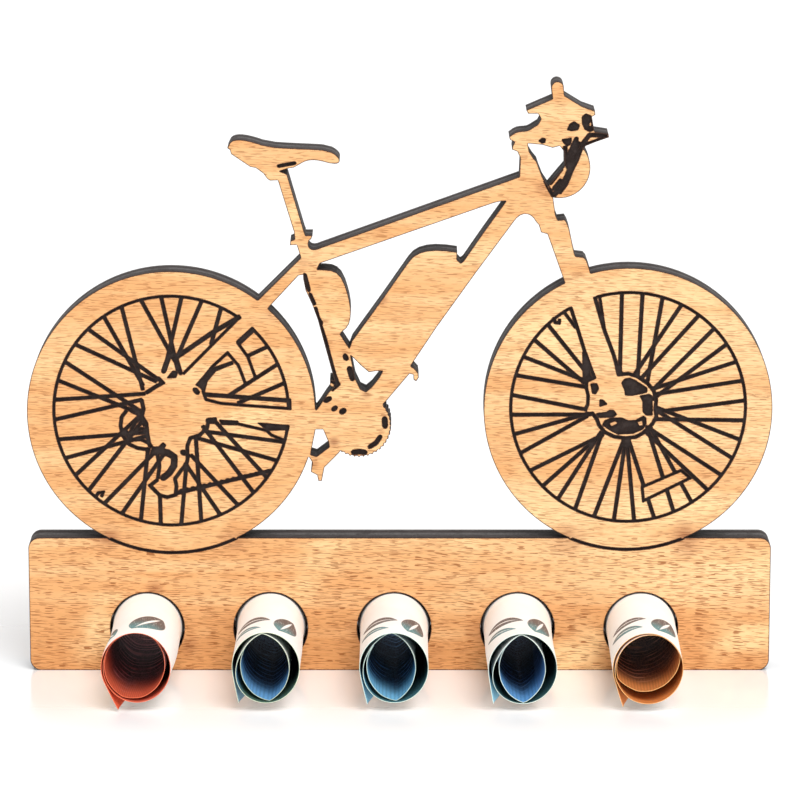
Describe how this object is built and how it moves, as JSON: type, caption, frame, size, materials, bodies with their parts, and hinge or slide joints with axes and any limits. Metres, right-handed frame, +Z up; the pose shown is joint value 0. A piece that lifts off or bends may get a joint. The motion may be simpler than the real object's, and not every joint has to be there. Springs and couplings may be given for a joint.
{
  "type": "plywood bicycle money gift board",
  "caption": "Plywood silhouette of an electric bicycle on a base strip with a row of round holes, each holding a rolled paper note.",
  "frame": {"origin": "middle of the base strip's bottom edge, halfway through the plywood", "axes": "+X along the board toward the front wheel, engraved face toward -Y, +Z up"},
  "size_m": [0.2, 0.077, 0.1611],
  "materials": {
    "beech_veneer": "sanded beech, unlacquered, laser-charred edges",
    "cross_ply": "charred cross-grain ply edge",
    "core_ply": "charred ply edge",
    "red_note_paper": "matte printed paper",
    "blue_note_paper": "matte printed paper",
    "orange_note_paper": "matte printed paper"
  },
  "bodies": {
    "board": {"front_veneer": "beech_veneer", "front_cross_ply": "cross_ply", "core_ply": "core_ply", "rear_cross_ply": "cross_ply", "back_veneer": "beech_veneer"},
    "note_1": {"rolled_note_1": "red_note_paper"},
    "note_2": {"rolled_note_2": "blue_note_paper"},
    "note_3": {"rolled_note_3": "blue_note_paper"},
    "note_4": {"rolled_note_4": "blue_note_paper"},
    "note_5": {"rolled_note_5": "orange_note_paper"}
  },
  "joints": [
    {"name": "note_1_slide", "type": "slide", "parent": "board", "child": "note_1", "axis": [0, -1, 0], "range_m": [-0.024, 0.028]},
    {"name": "note_2_slide", "type": "slide", "parent": "board", "child": "note_2", "axis": [0, -1, 0], "range_m": [-0.024, 0.033]},
    {"name": "note_3_slide", "type": "slide", "parent": "board", "child": "note_3", "axis": [0, -1, 0], "range_m": [-0.024, 0.033]},
    {"name": "note_4_slide", "type": "slide", "parent": "board", "child": "note_4", "axis": [0, -1, 0], "range_m": [-0.024, 0.033]},
    {"name": "note_5_slide", "type": "slide", "parent": "board", "child": "note_5", "axis": [0, -1, 0], "range_m": [-0.024, 0.038]}
  ]
}
